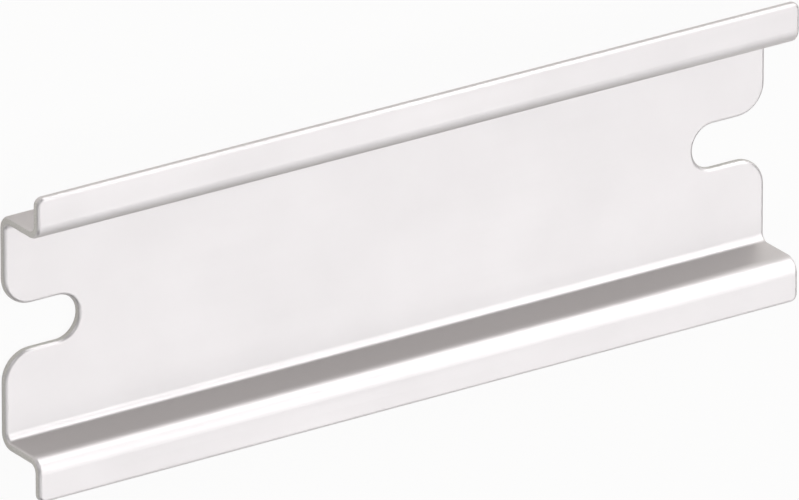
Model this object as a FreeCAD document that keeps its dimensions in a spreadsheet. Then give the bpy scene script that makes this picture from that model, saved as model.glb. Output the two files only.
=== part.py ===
import FreeCAD, Part
import math
import os
import Sketcher

# Top-hat mounting rail, a short cut length for clip-on electrical fittings.
# One strip of zinc-plated steel sheet, bent into a hat section, with an open screw slot in each end.
# Millimetres. X runs along the rail, Y across it, and Z from the web's back to the flange faces.
# The origin is the centre of the web's back face, on which the rail lies.

doc = FreeCAD.newDocument("DinRail")

# Driving dimensions
sizes = doc.addObject("Spreadsheet::Sheet", "Sizes")
driving = [
    ("rail_length", 98.0),
    ("rail_width", 35.0),
    ("rail_depth", 7.5),
    ("sheet_thickness", 1.0),
    ("channel_width", 25.0),
    ("bend_radius", 0.8),
    ("slot_width", 5.2),
    ("slot_setback", 6.8),
    ("mouth_radius", 3.4),
    ("flange_corner_radius", 0.9),
    ("edge_rounding", 0.4),
]
for row, (name, size) in enumerate(driving, start=1):
    sizes.set(f"A{row}", name)
    sizes.set(f"B{row}", str(size))
    sizes.setAlias(f"B{row}", name)
doc.recompute()

# Places in the section, as distances across from the rail's middle and up from the web's back
RIM = "Sizes.rail_width / 2"
INSIDE = "Sizes.channel_width / 2"
OUTSIDE = "Sizes.channel_width / 2 + Sizes.sheet_thickness"
BACK = "0"
FLOOR = "Sizes.sheet_thickness"
UNDER = "Sizes.rail_depth - Sizes.sheet_thickness"
FACE = "Sizes.rail_depth"

# Places along and across an end slot
RAIL_END = "Sizes.rail_length / 2"
SLOT_CENTRE = "Sizes.rail_length / 2 - Sizes.slot_setback"
SLOT_SIDE = "Sizes.slot_width / 2"

# Radii of the rounds, each kept within the metal that it rounds
INSIDE_BEND = "Sizes.bend_radius"
OUTSIDE_BEND = "Sizes.bend_radius + Sizes.sheet_thickness"
FLAT_BESIDE_SLOT = "(Sizes.channel_width - Sizes.slot_width) / 2 - Sizes.bend_radius"
MOUTH = f"min(Sizes.mouth_radius; 0.9 * Sizes.slot_setback; 0.9 * ({FLAT_BESIDE_SLOT}))"
CORNER = f"min(Sizes.flange_corner_radius; 0.4 * ({RIM} - ({OUTSIDE})))"
EDGE = f"min(Sizes.edge_rounding; 0.4 * Sizes.sheet_thickness; 0.45 * {CORNER})"

# Two positions nearer than this are one
SAME = 1e-4
# Sketcher's own numbers: the points of a line or an arc, then its level axis and the origin on that axis
START, END, CENTRE = range(1, 4)
LEVEL_AXIS = -1
ORIGIN = (LEVEL_AXIS, START)


def value(expression):
    """What an expression of the driving dimensions comes to, in millimetres."""
    return float(sizes.evalExpression(expression))


def same(a, b):
    return abs(a - b) < SAME


def new_sketch(body, name, role):
    """An empty sketch on the body's own origin plane with this role."""
    plane = next(f for f in body.Origin.OriginFeatures if f.Role == role)
    sketch = body.newObject("Sketcher::SketchObject", name)
    sketch.AttachmentSupport = (plane, [""])
    sketch.MapMode = "FlatFace"
    return sketch


def bind(sketch, name, expression, kind, *points):
    """Add a named size to the sketch and tie it to the driving dimensions."""
    constraint = Sketcher.Constraint(kind, *points, value(expression))
    sketch.renameConstraint(sketch.addConstraint(constraint), name)
    sketch.setExpression(f"Constraints.{name}", expression)


def round_edges(body, name, base, wanted, radius):
    """Round the edges of the base feature for which wanted is true."""
    edges = [f"Edge{number}" for number, edge in enumerate(base.Shape.Edges, start=1) if wanted(edge)]
    if not edges:
        raise RuntimeError(f"{name} finds no edge to round")
    feature = body.newObject("PartDesign::Fillet", name)
    feature.Base = (base, edges)
    feature.setExpression("Radius", radius)
    doc.recompute()
    return feature


def is_bend(places):
    """A test for straight edges along the rail that lie at one of these places, on either side."""
    spots = [(value(across), value(up)) for across, up in places]

    def test(edge):
        first, last = edge.firstVertex().Point, edge.lastVertex().Point
        lengthwise = same(first.y, last.y) and same(first.z, last.z)
        return lengthwise and any(same(abs(first.y), y) and same(first.z, z) for y, z in spots)

    return test


def is_corner(across):
    """A test for edges through the sheet at the rail's ends, this far to either side."""
    x, y = value(RAIL_END), value(across)

    def test(edge):
        first, last = edge.firstVertex().Point, edge.lastVertex().Point
        upright = same(first.x, last.x) and same(first.y, last.y)
        return upright and same(abs(first.x), x) and same(abs(first.y), y)

    return test


# The rail
rail = doc.addObject("PartDesign::Body", "DinRailBody")
rail.Label = "din_rail"

# Hat section with sharp bends, anticlockwise from the web's back corner
right_side = [
    (OUTSIDE, BACK),
    (OUTSIDE, UNDER),
    (RIM, UNDER),
    (RIM, FACE),
    (INSIDE, FACE),
    (INSIDE, FLOOR),
]
corners = [(1, *place) for place in right_side] + [(-1, *place) for place in reversed(right_side)]
points = [FreeCAD.Vector(side * value(across), value(up), 0) for side, across, up in corners]
section = new_sketch(rail, "Section", "YZ_Plane")
for number, point in enumerate(points):
    section.addGeometry(Part.LineSegment(point, points[(number + 1) % len(points)]))
for number, (side, across, up) in enumerate(corners):
    following = (number + 1) % len(corners)
    section.addConstraint(Sketcher.Constraint("Coincident", number, END, following, START))
    if up != corners[following][2]:
        section.addConstraint(Sketcher.Constraint("Vertical", number))
        pair = (*ORIGIN, number, START) if side > 0 else (number, START, *ORIGIN)
        bind(section, f"across_{number}", across, "DistanceX", *pair)
        continue
    section.addConstraint(Sketcher.Constraint("Horizontal", number))
    if up == BACK:
        section.addConstraint(Sketcher.Constraint("PointOnObject", number, START, LEVEL_AXIS))
    else:
        bind(section, f"up_{number}", up, "DistanceY", *ORIGIN, number, START)
doc.recompute()

strip = rail.newObject("PartDesign::Pad", "Strip")
strip.Profile = section
strip.SideType = "Symmetric"
strip.setExpression("Length", "Sizes.rail_length")
doc.recompute()

# Bends: the sheet keeps its thickness round each one
hollow_side = is_bend([(OUTSIDE, UNDER), (INSIDE, FLOOR)])
inside_bends = round_edges(rail, "InsideBends", strip, hollow_side, INSIDE_BEND)
full_side = is_bend([(INSIDE, FACE), (OUTSIDE, BACK)])
outside_bends = round_edges(rail, "OutsideBends", inside_bends, full_side, OUTSIDE_BEND)

# Screw slot through the web, open at the rail's left end
left = -value(RAIL_END)
slot_end = -value(SLOT_CENTRE)
side = value(SLOT_SIDE)
slot = new_sketch(rail, "Slot", "XY_Plane")
lower = slot.addGeometry(Part.LineSegment(FreeCAD.Vector(left, -side, 0), FreeCAD.Vector(slot_end, -side, 0)))
circle = Part.Circle(FreeCAD.Vector(slot_end, 0, 0), FreeCAD.Vector(0, 0, 1), side)
bottom = slot.addGeometry(Part.ArcOfCircle(circle, -math.pi / 2, math.pi / 2))
upper = slot.addGeometry(Part.LineSegment(FreeCAD.Vector(slot_end, side, 0), FreeCAD.Vector(left, side, 0)))
mouth = slot.addGeometry(Part.LineSegment(FreeCAD.Vector(left, side, 0), FreeCAD.Vector(left, -side, 0)))
slot.addConstraint(Sketcher.Constraint("Tangent", lower, END, bottom, START))
slot.addConstraint(Sketcher.Constraint("Tangent", bottom, END, upper, START))
slot.addConstraint(Sketcher.Constraint("Coincident", upper, END, mouth, START))
slot.addConstraint(Sketcher.Constraint("Coincident", mouth, END, lower, START))
slot.addConstraint(Sketcher.Constraint("Horizontal", lower))
slot.addConstraint(Sketcher.Constraint("Horizontal", upper))
slot.addConstraint(Sketcher.Constraint("Vertical", mouth))
slot.addConstraint(Sketcher.Constraint("PointOnObject", bottom, CENTRE, LEVEL_AXIS))
bind(slot, "side", SLOT_SIDE, "Radius", bottom)
bind(slot, "rail_end", RAIL_END, "DistanceX", lower, START, *ORIGIN)
bind(slot, "slot_centre", SLOT_CENTRE, "DistanceX", bottom, CENTRE, *ORIGIN)
doc.recompute()

left_slot = rail.newObject("PartDesign::Pocket", "LeftSlot")
left_slot.Profile = slot
left_slot.Type = "ThroughAll"
left_slot.Reversed = True
doc.recompute()

both_slots = rail.newObject("PartDesign::Mirrored", "BothSlots")
both_slots.Originals = [left_slot]
middle = next(f for f in rail.Origin.OriginFeatures if f.Role == "YZ_Plane")
both_slots.MirrorPlane = (middle, [""])
rail.Tip = both_slots
doc.recompute()

slot_area = value("Sizes.slot_setback * Sizes.slot_width") + math.pi * side**2 / 2
removed = outside_bends.Shape.Volume - both_slots.Shape.Volume
if not math.isclose(removed, 2 * slot_area * value(FLOOR), rel_tol=1e-3):
    raise RuntimeError(f"the two slots remove {removed:.3f} cubic millimetres")

# Wide rounds at the slots' mouths, and small ones at the flanges' corners
mouths = round_edges(rail, "SlotMouths", both_slots, is_corner(SLOT_SIDE), MOUTH)
flange_corners = round_edges(rail, "FlangeCorners", mouths, is_corner(RIM), CORNER)


def is_cut(face):
    """True for a face made by cutting through the sheet, which both of its skins meet squarely."""
    surface = face.Surface
    if isinstance(surface, Part.Cylinder):
        return same(abs(surface.Axis.z), 1)
    normal = face.normalAt(0, 0)
    box = face.BoundBox
    across = max(abs(box.YMin), abs(box.YMax))
    at_rim = same(abs(normal.y), 1) and same(across, value(RIM))
    in_slot = same(abs(normal.y), 1) and same(across, value(SLOT_SIDE))
    return same(abs(normal.x), 1) or at_rim or in_slot


cut_faces = [face for face in flange_corners.Shape.Faces if is_cut(face)]
skin_faces = [face for face in flange_corners.Shape.Faces if not is_cut(face)]


def borders(edge, faces):
    return any(edge.isSame(other) for face in faces for other in face.Edges)


def is_cut_edge(edge):
    """True where a cut face meets one of the sheet's skins."""
    return borders(edge, cut_faces) and borders(edge, skin_faces)


# Cut edges, softened all round on both skins
finished = round_edges(rail, "CutEdges", flange_corners, is_cut_edge, EDGE)
rail.Tip = finished
doc.recompute()

# Every feature is sound before anything is written
for feature in doc.Objects:
    if "Invalid" in feature.State or "Error" in feature.State:
        raise RuntimeError(f"{feature.Label} failed: {feature.State}")
shape = rail.Shape
if shape.isNull() or not shape.isValid() or len(shape.Solids) != 1:
    raise RuntimeError("the rail isn't one valid solid")

os.makedirs("parts", exist_ok=True)
shape.exportStep(f"parts/{rail.Label}.step")
box = shape.optimalBoundingBox(False, False)
print(f"{rail.Label}: {box.XLength:.3f} x {box.YLength:.3f} x {box.ZLength:.3f} mm, {shape.Volume:.2f} mm3")
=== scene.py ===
import math

import bpy
from mathutils import Matrix, Vector

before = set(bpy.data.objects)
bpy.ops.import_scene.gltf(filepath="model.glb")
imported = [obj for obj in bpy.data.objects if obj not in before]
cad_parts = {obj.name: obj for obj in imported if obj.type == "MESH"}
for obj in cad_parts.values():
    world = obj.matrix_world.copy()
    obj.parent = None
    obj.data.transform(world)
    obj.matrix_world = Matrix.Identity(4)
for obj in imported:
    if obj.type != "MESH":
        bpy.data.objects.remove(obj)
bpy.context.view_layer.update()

MM = 0.001


# The camera
# The rail is seen as it hangs level on a wall, from a little to its left and above, through a long lens
# that keeps its edges parallel. The wall's own upright is the frame's Y, and the rail lies on its back here.
turn_to_left = math.radians(34.01)
look_down = math.radians(23.03)
lens_mm = 1000
shot_distance = 2371.6 * MM
sight_ends = 20
aim = Vector((-0.48, -1.05, 3.75)) * MM

to_camera = Vector((
    -math.sin(turn_to_left) * math.cos(look_down),
    math.sin(look_down),
    math.cos(turn_to_left) * math.cos(look_down),
))
camera_right = Vector((math.cos(turn_to_left), 0, math.sin(turn_to_left)))
camera_up = to_camera.cross(camera_right)
shot = bpy.data.cameras.new("shot")
shot.lens = lens_mm
shot.clip_end = sight_ends
camera = bpy.data.objects.new("shot", shot)
bpy.context.scene.collection.objects.link(camera)
camera.matrix_world = Matrix.Translation(aim + to_camera * shot_distance) @ Matrix((
    camera_right, camera_up, to_camera
)).transposed().to_4x4()
bpy.context.scene.camera = camera
bpy.context.scene.view_settings.view_transform = "Standard"


# The rail
# One strip of cold-rolled steel, bent to a hat section and plated with bright zinc, so it is a satin metal
# with faint rolling lines along it and a cloudy bloom. Its ends and slots were cut after plating, so bare
# steel shows there, darker and duller.
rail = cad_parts["din_rail"]
zinc = bpy.data.materials.new("zinc_plating")
zinc.use_nodes = True
coat = zinc.node_tree
finish = coat.nodes["Principled BSDF"]
finish.inputs["Metallic"].default_value = 1
place = coat.nodes.new("ShaderNodeTexCoord")


def feed(tree, socket, value):
    """Gives a socket a plain value or another node's output."""
    if isinstance(value, bpy.types.NodeSocket):
        tree.links.new(value, socket)
    else:
        socket.default_value = value


def worked_out(tree, operation, *values):
    """Works out one number from plain values and other nodes' outputs."""
    step = tree.nodes.new("ShaderNodeMath")
    step.operation = operation
    for socket, value in zip(step.inputs, values):
        feed(tree, socket, value)
    return step.outputs["Value"]


def mottling(where, scale, detail, roughness=0.5):
    """Soft random patches over the strip, of about one patch in each 1 / scale metres."""
    noise = coat.nodes.new("ShaderNodeTexNoise")
    noise.inputs["Scale"].default_value = scale
    noise.inputs["Detail"].default_value = detail
    noise.inputs["Roughness"].default_value = roughness
    coat.links.new(where, noise.inputs["Vector"])
    return noise.outputs["Fac"]


def ramped(value, start, end, low, high):
    """Goes from low to high as the value goes from start to end, and stays level outside."""
    ramp = coat.nodes.new("ShaderNodeMapRange")
    ramp.inputs["From Min"].default_value = start
    ramp.inputs["From Max"].default_value = end
    ramp.inputs["To Min"].default_value = low
    ramp.inputs["To Max"].default_value = high
    coat.links.new(value, ramp.inputs["Value"])
    return ramp.outputs["Result"]


def tinted(value, start, end, dark, pale):
    """Goes from the dark to the pale colour as the value goes from start to end."""
    ramp = coat.nodes.new("ShaderNodeValToRGB")
    for stop, position, colour in zip(ramp.color_ramp.elements, (start, end), (dark, pale)):
        stop.position = position
        stop.color = (*colour, 1)
    coat.links.new(value, ramp.inputs["Fac"])
    return ramp.outputs["Color"]


# Nearly all of a mottling's values lie between these two
mottling_low, mottling_high = 0.3, 0.7

# The bloom lies in soft patches about a centimetre across
bloom = mottling(place.outputs["Object"], scale=90, detail=5, roughness=0.6)
bloom_tint = tinted(bloom, mottling_low, mottling_high, dark=(0.837, 0.809, 0.815), pale=(0.852, 0.824, 0.83))
bloom_roughness = ramped(bloom, mottling_low, mottling_high, low=0.46, high=0.44)

# The rolling lines are drawn out along the rail and run straight round every bend
lines_along = 25
lines_across = 7000
drawn_out = coat.nodes.new("ShaderNodeMapping")
drawn_out.inputs["Scale"].default_value = (lines_along, lines_across, lines_across)
coat.links.new(place.outputs["Object"], drawn_out.inputs["Vector"])
rolling = mottling(drawn_out.outputs["Vector"], scale=1, detail=3)
rolling_roughness = ramped(rolling, mottling_low, mottling_high, low=-0.02, high=0.02)
roughness = worked_out(coat, "ADD", bloom_roughness, rolling_roughness)
relief = coat.nodes.new("ShaderNodeBump")
relief.inputs["Strength"].default_value = 0.1
relief.inputs["Distance"].default_value = 0.004 * MM
coat.links.new(rolling, relief.inputs["Height"])

# Cut faces are those that look along the rail, and the upright ones low in the web
web_front = 1.02 * MM
slots_within = 9 * MM
facing = coat.nodes.new("ShaderNodeSeparateXYZ")
coat.links.new(place.outputs["Normal"], facing.inputs["Vector"])
spot = coat.nodes.new("ShaderNodeSeparateXYZ")
coat.links.new(place.outputs["Object"], spot.inputs["Vector"])
lengthwise = worked_out(coat, "ABSOLUTE", facing.outputs["X"])
at_end = ramped(lengthwise, 0.75, 0.9, low=0, high=1)
level = worked_out(coat, "ABSOLUTE", facing.outputs["Z"])
upright = ramped(level, 0.6, 0.4, low=0, high=1)
in_web = worked_out(coat, "LESS_THAN", spot.outputs["Z"], web_front)
from_middle = worked_out(coat, "ABSOLUTE", spot.outputs["Y"])
by_slots = worked_out(coat, "LESS_THAN", from_middle, slots_within)
in_web_by_slots = worked_out(coat, "MULTIPLY", in_web, by_slots)
in_slot = worked_out(coat, "MULTIPLY", in_web_by_slots, upright)
cut = worked_out(coat, "MAXIMUM", at_end, in_slot)

# Bare steel has the fine torn grain of a shear cut
duller_by = 0.12
grain = mottling(place.outputs["Object"], scale=6000, detail=2)
steel_tint = tinted(grain, mottling_low, mottling_high, dark=(0.68, 0.67, 0.65), pale=(0.78, 0.77, 0.75))
tint = coat.nodes.new("ShaderNodeMix")
tint.data_type = "RGBA"
plated_colour, bare_colour, mixed_colour = tint.inputs[6], tint.inputs[7], tint.outputs[2]
coat.links.new(cut, tint.inputs["Factor"])
coat.links.new(bloom_tint, plated_colour)
coat.links.new(steel_tint, bare_colour)
coat.links.new(mixed_colour, finish.inputs["Base Color"])
feed(coat, finish.inputs["Roughness"], worked_out(coat, "MULTIPLY_ADD", cut, duller_by, roughness))
coat.links.new(relief.outputs["Normal"], finish.inputs["Normal"])
for holder in rail.material_slots:
    holder.material = zinc

# The picture shows no wall mirrored in the web and no web in a wall, so the rail is kept out of reflections
rail.visible_glossy = False


# The floor and the lights
# A plain white paper floor in a dim room. An arch of soft boxes on the rail's right runs from low on its
# near side to low on its far side, so that each bend carries a long soft highlight. Three more fill in on
# the left.
half = 6
corners = [(-half, -half, 0), (half, -half, 0), (half, half, 0), (-half, half, 0)]
floor_mesh = bpy.data.meshes.new("floor")
floor_mesh.from_pydata(corners, [], [(0, 1, 2, 3)])
floor = bpy.data.objects.new("floor", floor_mesh)
bpy.context.scene.collection.objects.link(floor)

# The paper reads white where it is seen directly, and pale in metal or through glass. The rest of what is
# seen is its own lit shade, which keeps the rail's shadow, faint to the eye and deep in metal
white_seen_directly = 0.94
white_in_metal_or_glass = 0.23
paper = bpy.data.materials.new("floor_paper")
paper.use_nodes = True
sheet = paper.node_tree
surface = sheet.nodes["Principled BSDF"]
surface.inputs["Base Color"].default_value = (0.82, 0.795, 0.755, 1)
surface.inputs["Roughness"].default_value = 0.9
surface.inputs["Specular IOR Level"].default_value = 0.2
white = sheet.nodes.new("ShaderNodeEmission")
ray = sheet.nodes.new("ShaderNodeLightPath").outputs
in_metal_or_glass = worked_out(sheet, "MAXIMUM", ray["Is Glossy Ray"], ray["Is Transmission Ray"])
softened = worked_out(sheet, "MULTIPLY", in_metal_or_glass, white_in_metal_or_glass)
direct = worked_out(sheet, "MULTIPLY", ray["Is Camera Ray"], white_seen_directly)
blend = sheet.nodes.new("ShaderNodeMixShader")
feed(sheet, blend.inputs["Fac"], worked_out(sheet, "MAXIMUM", direct, softened))
sheet.links.new(surface.outputs["BSDF"], blend.inputs[1])
sheet.links.new(white.outputs["Emission"], blend.inputs[2])
sheet.links.new(blend.outputs["Shader"], sheet.nodes["Material Output"].inputs["Surface"])
floor_mesh.materials.append(paper)

# The room has a white skirting that carries the floor on to the horizon, dim walls and a paler ceiling
studio = bpy.data.worlds.new("studio")
bpy.context.scene.world = studio
studio.use_nodes = True
surround = studio.node_tree
outlook = surround.nodes.new("ShaderNodeTexCoord")
height = surround.nodes.new("ShaderNodeSeparateXYZ")
surround.links.new(outlook.outputs["Generated"], height.inputs["Vector"])
room = surround.nodes.new("ShaderNodeValToRGB")
skirting, ceiling = room.color_ramp.elements
skirting.position = 0.08
skirting.color = (1, 1, 1, 1)
ceiling.color = (0.35, 0.35, 0.35, 1)
wall_foot = room.color_ramp.elements.new(0.16)
wall_foot.color = (0.04, 0.04, 0.04, 1)
wall_top = room.color_ramp.elements.new(0.4)
wall_top.color = (0.08, 0.08, 0.08, 1)
surround.links.new(height.outputs["Z"], room.inputs["Fac"])
surround.links.new(room.outputs["Color"], surround.nodes["Background"].inputs["Color"])

# Soft boxes, each with the way to it from the rail and its power. They stand far off, so that the light is
# as strong at one end of the rail as at the other
box_across = 1.5
box_distance = 3.6
soft_boxes = [
    ("near_low", (0.5, -0.75, 0.43), 6.5),
    ("near_high", (0.5, -0.43, 0.75), 10),
    ("overhead", (0.5, 0, 0.87), 14),
    ("beside", (0.66, 0.35, 0.66), 19),
    ("far_high", (0.68, 0.62, 0.39), 16.5),
    ("far_low", (0.5, 0.84, 0.22), 15),
    ("left_high", (-0.12, -0.39, 0.91), 9),
    ("left_low", (-0.62, -0.39, 0.68), 9),
    ("left_far", (-0.52, 0.6, 0.6), 12),
]
for name, way, watts in soft_boxes:
    lamp = bpy.data.lights.new(name, "AREA")
    lamp.shape = "DISK"
    lamp.size = box_across
    lamp.energy = watts
    soft_box = bpy.data.objects.new(name, lamp)
    bpy.context.scene.collection.objects.link(soft_box)
    soft_box.location = Vector(way).normalized() * box_distance
    soft_box.rotation_euler = Vector(way).to_track_quat("Z", "Y").to_euler()
